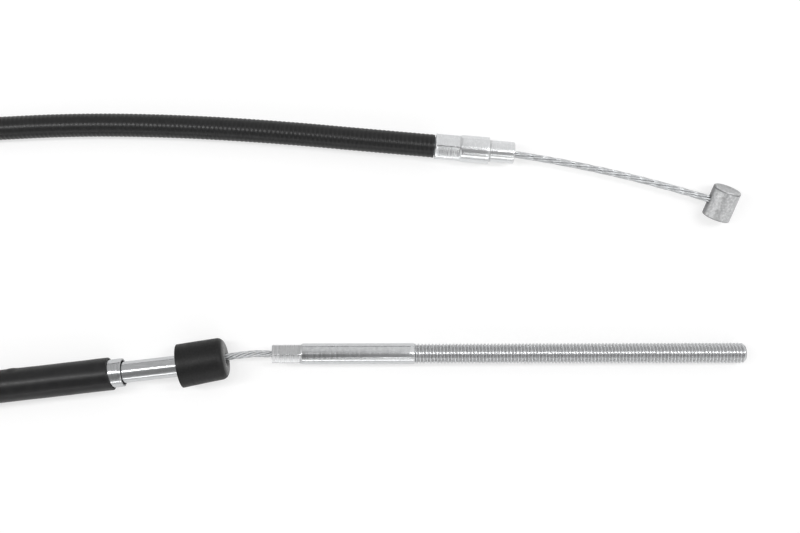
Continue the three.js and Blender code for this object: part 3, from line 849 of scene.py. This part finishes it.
HEX = TURN / 6
CROWN = 0.75                 # 1 would be flat from edge to edge
NECK_CROWN = 0.87
EDGE_ROUNDING = math.radians(1.5)
GATHER = 0.7                 # how far a crimped bar's columns close up at its edges


def crimped(flat_at, crown):
    """A shape that takes six crowned flats off a bar, with an edge on top.

    The distance from the bar's axis to the middle of a flat is what flat_at says.
    """

    def shape(place, radius, angle):
        from_flat = abs((angle + HEX / 2) % HEX - HEX / 2)
        from_flat = HEX / 2 - math.hypot(HEX / 2 - from_flat, EDGE_ROUNDING)
        return min(radius, flat_at(place) / math.cos(from_flat) ** crown)

    return shape


def eased(x0, x1, r0, r1, steps=4):
    """Places from one radius to another round a quarter of an ellipse."""
    out = []
    for i in range(steps + 1):
        angle = TURN / 4 * i / steps
        if r1 < r0:
            out.append((x0 + (x1 - x0) * math.sin(angle), r1 + (r0 - r1) * math.cos(angle)))
        else:
            out.append((x1 - (x1 - x0) * math.cos(angle), r0 + (r1 - r0) * math.sin(angle)))
    return out


def stretch(x0, x1, radius, step):
    """Places along a straight side, without its first and last."""
    count = max(1, round((x1 - x0) / step))
    return [(x0 + (x1 - x0) * i / count, radius) for i in range(1, count)]


CRIMP_FLAT = 3.5
CRIMP_RUN_OUT = (6.9, 7.8)


def lever_ferrule():
    def flat_at(x):
        return CRIMP_FLAT + 0.36 * smooth(x, *CRIMP_RUN_OUT) + 0.1 * smooth(0.7 - x, 0.0, 0.7)

    outline = [
        *eased(0.0, 0.15, SEAT_RADIUS + 0.35, SKIRT_RADIUS - 0.1),
        *stretch(0.15, 9.0, SKIRT_RADIUS, 0.15),
        *stretch(9.0, SKIRT_LENGTH - 0.2, SKIRT_RADIUS, 0.8),
        *eased(SKIRT_LENGTH - 0.25, SKIRT_LENGTH, SKIRT_RADIUS, SKIRT_RADIUS - 0.25),
        (SKIRT_LENGTH, NOSE_RADIUS + 0.05),
        (SKIRT_LENGTH + 0.05, NOSE_RADIUS),
        *stretch(SKIRT_LENGTH + 0.05, FERRULE_LENGTH - 0.3, NOSE_RADIUS, 0.6),
        *eased(FERRULE_LENGTH - 0.3, FERRULE_LENGTH, NOSE_RADIUS, NOSE_RADIUS - 0.3),
        (FERRULE_LENGTH, LINER_BORE + 0.25),
        (FERRULE_LENGTH - 0.15, LINER_BORE + 0.1),
        (FERRULE_SEAT, LINER_BORE + 0.1),
        (FERRULE_SEAT, SEAT_RADIUS),
        (0.0, SEAT_RADIUS),
    ]
    rings = turned_rings(outline, 72, crimped(flat_at, CROWN), GATHER)

    # painted shade in the corner at the nose's root and inside the ferrule
    def mark(point):
        reach = reach_of(point)
        root = math.exp(-((point.x - SKIRT_LENGTH) / 0.16) ** 2) * (reach < NOSE_RADIUS + 0.3)
        return max(0.7 * root, float(reach < SEAT_RADIUS + 0.1))

    piece(
        "crimped_ferrule", skin(rings, True), FERRULE, "plated_steel", ["lever_ferrule"],
        standing(lever_mouth, lever_axis), mark=mark,
    )


GATE_MARKS = ((-3.75, 2.35, 0.42, 0.14), (-3.25, 1.45, 0.30, 0.10))   # x, y, radius, rise
SOCKET_RADIUS = 1.35
SOCKET_DEPTH = 0.6


def from_socket(point):
    """How far a point of the nipple is from the middle of the wire's socket."""
    return math.hypot(point.x, point.z) if point.y < 0 else math.inf


def cast_surface(outline, columns):
    """Rings of a cast piece, roughened all over, with its gate marks and the wire's socket."""
    rough = []
    for one in turned_rings(outline, columns):
        moved = []
        for point in one:
            outward = Vector((0, point.y, point.z))
            outward = outward.normalized() if outward.length > 0.05 else Vector()
            shift = 0.035 * noise.noise(point * 1.3) + 0.02 * noise.noise(point * 3.1)
            if point.z < 0 and outward.length > 0:
                for x, y, radius, rise in GATE_MARKS:
                    near = math.hypot(point.x - x, point.y - y) / radius
                    shift += rise * math.exp(-near * near)
            point = point + shift * outward
            if abs(point.x) < 3 and outward.length > 0:
                sunk = 1 - smooth(from_socket(point), SOCKET_RADIUS - 0.25, SOCKET_RADIUS + 0.1)
                point.y += SOCKET_DEPTH * sunk
            moved.append(point)
        rough.append(moved)
    return rough


def nipple_mark(point):
    """Painted shade under the top edge, round the bottom edge, in the socket and towards the
    sides, more on the wire's side, and over the top face but for a crescent near its rim, left
    light as a painted highlight.
    """
    half = NIPPLE_LENGTH / 2
    reach = reach_of(point)
    if reach < NIPPLE_RADIUS - 0.5:
        if point.x > half - 0.5:
            rim = smooth(reach, 2.2, 3.2) * smooth(-point.z, 0.5, 2.5)
            return 0.22 * (1 - rim)
        return 1.0 if point.y < 0 and abs(point.x) < 1.6 else 0.0
    uneven = 0.5 + 0.5 * smooth(abs(point.y), 0.8, 2.6)
    line = 0.9 * uneven * math.exp(-((point.x - half + 0.52) / 0.15) ** 2)
    bottom = 0.75 * smooth(-half + 0.45 - point.x, 0, 0.4)
    sides = smooth(abs(point.y) / NIPPLE_RADIUS, 0.84, 0.97)
    side = (0.75 if point.y < 0 else 0.4) * sides
    socket = 1 - smooth(from_socket(point), SOCKET_RADIUS - 0.1, SOCKET_RADIUS + 0.7)
    return min(1.0, max(line, bottom, side, 0.9 * socket))


def barrel_nipple():
    half = NIPPLE_LENGTH / 2
    ahead = lever_wire_point(WIRE_REACH + 0.5)
    wire = (ahead - lever_wire_point(WIRE_REACH - 0.5)).normalized()
    tilt = math.radians(NIPPLE_TILT_DEGREES)
    axis = left_of(wire) * math.cos(tilt) + Vector((0, 0, math.sin(tilt)))
    outline = [
        (-half, 0.0),
        (-half, 1.5),
        (-half, 3.0),
        *eased(-half, -half + 0.22, NIPPLE_RADIUS - 0.22, NIPPLE_RADIUS),
        *stretch(-half + 0.22, half - 0.70, NIPPLE_RADIUS, 0.2),
        (half - 0.62, NIPPLE_RADIUS - 0.01),
        (half - 0.52, NIPPLE_RADIUS - 0.10),
        (half - 0.42, NIPPLE_RADIUS - 0.01),
        *eased(half - 0.38, half, NIPPLE_RADIUS, NIPPLE_RADIUS - 0.42, 5),
        (half - 0.03, NIPPLE_RADIUS - 0.60),
        (half - 0.16, NIPPLE_RADIUS - 0.80),
        (half - 0.30, NIPPLE_RADIUS - 1.05),
        (half - 0.36, NIPPLE_RADIUS - 1.5),
        (half - 0.34, 1.2),
        (half - 0.33, 0.0),
    ]
    piece(
        "cast_nipple", skin(cast_surface(outline, 96)), ZINC, "cast_zinc", ["barrel_nipple"],
        placed(lever_wire_point(WIRE_REACH), axis, wire), body="lever_end", mark=nipple_mark,
    )


lever_ferrule()
barrel_nipple()

# ------------------------ brake end


def brake_piece(name, rings, finish, slot, node, start, offset=0.0, **more):
    """A turned piece that begins at a place along the brake axis, for one CAD node."""
    matrix = standing(on_brake_axis(start, offset), brake_axis)
    piece(name, skin(rings, True), finish, slot, [node], matrix, **more)


def unevenness(place, angle, stretch, scale):
    """Noise round a piece, drawn out along it."""
    return noise.noise(Vector((math.cos(angle), math.sin(angle), place * stretch)) * scale)


NUB_PLACE = (23.9, 0.2)      # along the sleeve, and round it in radians
NUB_SIZE = (2.0, 0.42)
NUB_RISE = 0.2
SLEEVE_SLANT = 0.09          # of its end
SLANT_LENGTH = 6


def brake_sleeve():
    length = SLEEVE_END - SLEEVE_START
    bore = JACKET_RADIUS + GAP
    collar_bore = COLLAR_RADIUS + NESTING_GAP
    widened = COLLAR_START - 0.6 - SLEEVE_START

    def shape(place, radius, angle):
        if radius < SLEEVE_RADIUS - 0.3:
            return radius
        from_nub = math.hypot(*(
            (here - middle) / size
            for here, middle, size in zip((place, angle), NUB_PLACE, NUB_SIZE)
        ))
        nub = NUB_RISE * (1 - smooth(from_nub, 0.25, 1.0))
        return radius + 0.05 * unevenness(place, angle, 0.12, 1.5) + nub

    outline = [
        (0.0, bore),
        *eased(0.0, 0.5, bore + 0.5, SLEEVE_RADIUS),
        *stretch(0.5, length - 0.3, SLEEVE_RADIUS, 0.4),
        *eased(length - 0.3, length, SLEEVE_RADIUS, SLEEVE_RADIUS - 0.2),
        (length, collar_bore),
        (widened, collar_bore),
        (widened, bore),
    ]
    rings = turned_rings(outline, 56, shape)
    for one in rings:
        for point in one:
            near_end = smooth(point.x, length - SLANT_LENGTH, length)
            point.x -= SLEEVE_SLANT * point.y * near_end
    brake_piece("smooth_sleeve", rings, SLEEVE, "smooth_sleeve", "brake_sleeve", SLEEVE_START)


def brake_collar():
    length = COLLAR_FACE - COLLAR_START
    seat = COLLAR_SEAT - COLLAR_START
    outline = [
        (0.0, SEAT_RADIUS),
        *eased(0.0, 0.3, COLLAR_RADIUS - 0.3, COLLAR_RADIUS),
        *stretch(0.3, length - 0.1, COLLAR_RADIUS, 1.2),
        *eased(length - 0.1, length, COLLAR_RADIUS, COLLAR_RADIUS - 0.1),
        (length, TUBE_RADIUS + 0.32),
        (length - 0.1, TUBE_RADIUS + 0.22),
        (seat, TUBE_RADIUS + 0.22),
        (seat, SEAT_RADIUS),
    ]

    # painted shade on the end face round the tube and inside the bore
    def mark(point):
        return float(reach_of(point) < TUBE_RADIUS + 0.4)

    rings = turned_rings(outline, 56)
    brake_piece(
        "plated_collar", rings, COLLAR, "plated_steel", "brake_ferrule", COLLAR_START, mark=mark
    )


def guide_tube():
    length = TUBE_MOUTH - TUBE_START
    outline = [
        (0.0, TUBE_BORE),
        *eased(0.0, 0.2, TUBE_RADIUS - 0.2, TUBE_RADIUS),
        *stretch(0.2, length - 0.3, TUBE_RADIUS, 1.5),
        *eased(length - 0.3, length, TUBE_RADIUS, TUBE_RADIUS - 0.3),
        (length, TUBE_BORE),
    ]
    rings = turned_rings(outline, 48)
    brake_piece("drawn_guide_tube", rings, TUBE, "plated_steel", "guide_tube", TUBE_START)


BOOT_COLUMNS = 64
BOOT_RADII = (6.1, 5.81)     # at its mouth, and where its end begins to round
ROUNDING_START = 11.8
FACE_RADIUS = 3.5
BOOT_WIDER = 0.03            # how much wider than high it is, as a share
BOOT_ASIDE = -0.07
HOLE_DRAWN = 1.03            # how far the wire has drawn its hole out to the left


def hole_ring(place, radius):
    """A ring round the boot's hole."""
    points = []
    for angle in angles(BOOT_COLUMNS):
        point = round_point(place, radius, angle)
        point.y += HOLE_DRAWN * smooth(math.cos(angle), -0.25, 0.25)
        points.append(point)
    return points


def dust_boot():
    lean = Matrix.Rotation(math.radians(BOOT_LEAN_DEGREES), 3, "Z")
    bore = TUBE_RADIUS + GAP
    bore_end = TUBE_MOUTH - BOOT_MOUTH + GAP
    hole = WIRE_RADIUS + 0.15
    end = BOOT_LENGTH - 0.45

    def shape(place, radius, angle):
        wider = BOOT_WIDER * radius * math.cos(angle) ** 2
        return radius + wider + 0.04 * unevenness(place, angle, 0.15, 1.4)

    def gloss_and_painted_reflection(point):
        """Glossier on the end face, which is also painted lighter, as a painted reflection of the
        floor.
        """
        return smooth((lean.inverted() @ point).x, end - 0.7, end - 0.05)

    wide, narrow = BOOT_RADII
    outside = [
        (0.38, bore + 0.35),
        (0.31, 4.6),
        *eased(0.30, 0.40, wide - 0.1, wide),
        *(
            (0.4 + (ROUNDING_START - 0.4) * i / 12, wide + (narrow - wide) * i / 12)
            for i in range(1, 12)
        ),
        *eased(ROUNDING_START, end, narrow, FACE_RADIUS, 12),
        (end + 0.01, 3.2),
        (end, 2.8),
        (end - 0.02, 2.5),
    ]
    inside = [(bore_end, bore - 0.05), (bore_end, bore), (0.6, bore)]
    rings = [
        *([lean @ point for point in one] for one in turned_rings(outside, BOOT_COLUMNS, shape)),
        hole_ring(end - 0.10, hole + 0.25),
        hole_ring(end - 0.35, hole),
        hole_ring(bore_end, hole),
        *turned_rings(inside, BOOT_COLUMNS),
    ]
    brake_piece(
        "rubber_boot", rings, BOOT, "boot_rubber", "dust_boot", BOOT_MOUTH, BOOT_ASIDE,
        body="boot", sharp=40, mark=gloss_and_painted_reflection,
    )


brake_sleeve()
brake_collar()
guide_tube()
dust_boot()

# ------------------------ adjuster rod

# One turn of the thread: places as shares of the pitch, and radii from root to crest
THREAD_FORM = (
    (0.00, 0.84), (0.05, 0.97), (0.11, 1.0), (0.17, 0.97), (0.22, 0.84),
    (0.49, 0.10), (0.56, 0.0), (0.66, 0.0), (0.73, 0.10),
)
ROD_COLUMNS = 60
TIP_CHAMFER = 0.7
THREAD_GIRTH = 18.5          # round it, in its texture places


def thread_share(place):
    """How high the thread stands at a place, as a share of the pitch from its crest's start."""
    place %= 1.0
    form = [*THREAD_FORM, (1.0, THREAD_FORM[0][1])]
    for (a, low), (b, high) in zip(form, form[1:]):
        if a <= place <= b:
            return low + (high - low) * (place - a) / (b - a)
    return 0.0


def thread_rings(start, end):
    """Rings that climb with the thread, each point kept between the two ends."""
    turns = math.ceil((end - start) / THREAD_PITCH) + 2
    rings = []
    for turn in range(turns):
        for share, _ in THREAD_FORM:
            one = []
            for j, angle in enumerate(angles(ROD_COLUMNS)):
                lead = j / ROD_COLUMNS
                place = start + (turn - 1 + share + lead) * THREAD_PITCH
                place = min(max(place, start), end)
                height = thread_share((place - start) / THREAD_PITCH - lead)
                radius = THREAD_ROOT + (THREAD_RADIUS - THREAD_ROOT) * height
                radius = min(radius, THREAD_RADIUS + end - TIP_CHAMFER - place)
                one.append(round_point(place, radius, angle))
            rings.append(one)
    return rings


def wound(rings):
    """A closed skin whose columns join one turn of rings further on, as a thread does."""
    columns = ROD_COLUMNS
    points = [point for one in rings for point in one]
    faces = []
    places = []
    for i in range(len(rings) - 1):
        for j in range(columns):
            k = (j + 1) % columns
            shift = len(THREAD_FORM) if k == 0 else 0
            if i + 1 + shift >= len(rings):
                continue
            a = i * columns + j
            b = (i + shift) * columns + k
            c = (i + 1 + shift) * columns + k
            d = (i + 1) * columns + j
            if points[a] == points[d] and points[b] == points[c]:
                continue
            faces.append((a, b, c, d))
            s, t = THREAD_GIRTH * j / columns, THREAD_GIRTH * (j + 1) / columns
            places.append(tuple((points[n].x, v) for n, v in ((a, s), (b, t), (c, t), (d, s))))
    close_ends(points, faces, places, columns, (0.0, 0.0), (0.0, 0.0))
    return points, faces, places


RING_MARKS = (0.75, 1.85)


def adjuster_rod():
    shank_end = NECK_LENGTH + SHANK_LENGTH
    run_out = NECK_LENGTH - 0.9
    neck = crimped(lambda x: NECK_FLAT + 0.6 * max(x - run_out, 0.0) ** 1.5, NECK_CROWN)
    thread_start = shank_end - 0.3
    bore = WIRE_RADIUS + 0.1

    def shape(place, radius, angle):
        radius = neck(place, radius, angle)
        if radius > 2:
            for groove in RING_MARKS:
                radius -= 0.07 * math.exp(-((place - groove) / 0.12) ** 2)
        return radius

    # painted shade in the thread's grooves and in the ring grooves; the neck and its bore are
    # darker all over
    def mark(point):
        if point.x > thread_start - 0.01:
            return smooth(THREAD_RADIUS - reach_of(point), 0.10, 0.45)
        rings = max(math.exp(-((point.x - groove) / 0.16) ** 2) for groove in RING_MARKS)
        return max(0.60 * rings, 0.50 * smooth(NECK_LENGTH - point.x, 0.0, 0.4))

    outline = [
        (NECK_BORE_DEPTH - 0.1, 0.0),
        (NECK_BORE_DEPTH, bore),
        (0.2, bore),
        (0.0, bore + 0.2),
        *eased(0.0, 0.2, SHANK_RADIUS - 0.15, SHANK_RADIUS),
        *stretch(0.2, 2.4, SHANK_RADIUS, 0.11),
        *stretch(2.4, run_out - 0.2, SHANK_RADIUS, 0.5),
        *stretch(run_out - 0.2, run_out + 1.8, SHANK_RADIUS, 0.14),
        *stretch(run_out + 1.8, shank_end - 0.4, SHANK_RADIUS, 1.5),
        *eased(shank_end - 0.45, shank_end, SHANK_RADIUS, THREAD_ROOT),
        (shank_end + 0.05, 0.0),
    ]
    shank = skin(turned_rings(outline, ROD_COLUMNS, shape, GATHER))
    thread = wound(thread_rings(thread_start, shank_end + THREAD_LENGTH))
    piece(
        "threaded_rod", joined(shank, thread), ROD, "plated_rod", ["adjuster_rod"],
        standing(rod_start, rod_axis), body="rod", sharp=50, mark=mark,
    )


adjuster_rod()

# ------------------------ floor, world and lamps

FLOOR_HALF = 3.0             # this and the other lengths down to the lamps are in metres
FLOOR_DEPTH = 0.00002
FLOOR_COLOR = 0.86
SEEN_COLOR = 0.47            # as the camera sees it, so that shadows stay soft
FLOOR_GLOW = 0.56
FAR_GLOW = 0.30
FAR = (0.25, 0.9)            # from the frame's origin, where the glow rises


def add_floor():
    """A white floor. The camera sees it paler and with a glow, which rises far from the cable."""
    half, z = FLOOR_HALF, -FLOOR_DEPTH
    corners = [(-half, -half, z), (half, -half, z), (half, half, z), (-half, half, z)]
    mesh = bpy.data.meshes.new("floor")
    mesh.from_pydata(corners, [], [(0, 1, 2, 3)])
    floor = new_object("floor", mesh)
    material = bpy.data.materials.new("floor_white")
    nodes = Nodes(material)
    nodes.tree.nodes.clear()
    seen = nodes.node("LightPath").outputs["Is Camera Ray"]
    color = nodes.mixed(seen, grey(FLOOR_COLOR), grey(SEEN_COLOR))
    place = nodes.node("NewGeometry").outputs["Position"]
    distance = nodes.node("VectorMath", place, operation="LENGTH").outputs["Value"]
    glow = nodes.rise(distance, *FAR, To_Min=FLOOR_GLOW, To_Max=FLOOR_GLOW + FAR_GLOW)
    glow = nodes.node("Math", seen, glow, operation="MULTIPLY")
    both = nodes.node(
        "AddShader", nodes.node("BsdfDiffuse", Color=color), nodes.node("Emission", Strength=glow)
    )
    nodes.node("OutputMaterial", Surface=both)
    mesh.materials.append(material)


# How bright the tent round the cable is, by the angle from overhead towards +Y in degrees
TENT_NEAR = (
    (-180, 0.95), (-118, 0.92), (-112, 0.85), (-105, 1.05), (-99, 1.20), (-92, 0.95),
    (-86, 0.60), (-79, 0.55), (-75.5, 0.65), (-73.5, 2.8), (-68.5, 2.8), (-66, 0.60), (-57, 0.36),
)
TENT_FAR = ((92, 0.85), (180, 0.95))
TENT_LEFT = (
    *TENT_NEAR, (-40, 0.26), (-25, 0.26), (-5, 0.28), (8, 0.32), (22, 0.40), (30, 0.50),
    (50, 0.54), (85, 0.54), *TENT_FAR,
)
TENT_MIDDLE = (
    *TENT_NEAR, (-40, 0.20), (-28, 0.16), (-17, 0.14), (-6, 0.15), (5, 0.19), (15, 0.28),
    (27, 0.36), (38, 0.60), (50, 0.70), (85, 0.74), *TENT_FAR,
)
TENT_RIGHT_LOW = (
    (-180, 0.95), (-99, 1.10), (-92, 0.95), (-86, 0.80), (-78, 0.76), (-75, 0.80), (-73, 2.4),
    (-68, 2.4), (-65, 0.90), (-57, 0.78),
)
TENT_RIGHT = (
    *TENT_RIGHT_LOW, (-47, 0.60), (-45.5, 3.5), (-41.5, 3.5), (-40, 0.46), (-15, 0.34),
    (-5, 0.35), (8, 0.43), (17, 0.58), (30, 0.74), (85, 0.80), *TENT_FAR,
)
TENT_TIP = (
    *TENT_RIGHT_LOW, (-47, 0.64), (-45.5, 1.2), (-41.5, 1.2), (-40, 0.50), (-15, 0.44),
    (-5, 0.46), (9, 0.60), (13, 0.68), (14, 2.5), (17, 2.5), (18, 0.78), (30, 0.84), (85, 0.84),
    *TENT_FAR,
)
TENTS = (TENT_LEFT, TENT_MIDDLE, TENT_RIGHT, TENT_TIP)
# Where each tent gives way to the next, by the share of the direction that is along X
TENT_JOINS = ((-0.22, -0.06), (-0.02, 0.03), (0.110, 0.120))
TENT_ENDS = (0.5, 0.8)       # likewise, either way
ENDS_BRIGHTNESS = 0.8


def add_world():
    """A white tent: open and dark overhead towards the viewer, and pale low all round."""
    world = bpy.data.worlds.new("studio")
    bpy.context.scene.world = world
    nodes = Nodes(world)
    nodes.tree.nodes.clear()
    direction = nodes.node("TexCoord").outputs["Generated"]
    x, y, z = nodes.node("SeparateXYZ", direction).outputs
    angle = nodes.node("Math", y, z, operation="ARCTAN2")
    share = nodes.node("MapRange", Value=angle, From_Min=-math.pi, From_Max=math.pi)
    tent, *others = (
        nodes.ramp(share, [((degrees + 180) / 360, value) for degrees, value in stops])
        for stops in TENTS
    )
    for join, following in zip(TENT_JOINS, others):
        tent = nodes.mixed(nodes.rise(x, *join), tent, following)
    away = nodes.node("Math", x, operation="ABSOLUTE")
    tent = nodes.mixed(nodes.rise(away, *TENT_ENDS), tent, grey(ENDS_BRIGHTNESS))
    light = nodes.node("Background", Color=tent)
    white = nodes.node("Background", Color=grey(1))
    seen = nodes.node("LightPath").outputs["Is Camera Ray"]
    nodes.node("OutputWorld", Surface=nodes.node("MixShader", seen, light, white))


LAMP_HEIGHT = 0.342


def add_lamp(name, place, size, brightness):
    """A long soft box that faces straight down, as bright as a number of white floors."""
    data = bpy.data.lights.new(name, "AREA")
    data.shape = "RECTANGLE"
    data.size, data.size_y = size
    data.energy = brightness * math.pi * size[0] * size[1]
    lamp = new_object(name, data)
    lamp.location = (*place, LAMP_HEIGHT)
    lamp.visible_camera = False


add_floor()
add_world()
add_lamp("left_box", (-0.264, 0.046), (0.192, 0.034), 20.0)
add_lamp("tube_box", (-0.140, 0.030), (0.056, 0.034), 3.8)
add_lamp("boot_box", (-0.093, 0.036), (0.038, 0.034), 26.0)
add_lamp("right_box", (0.200, 0.050), (0.21, 0.036), 15.0)

bpy.context.scene.view_settings.view_transform = "Standard"
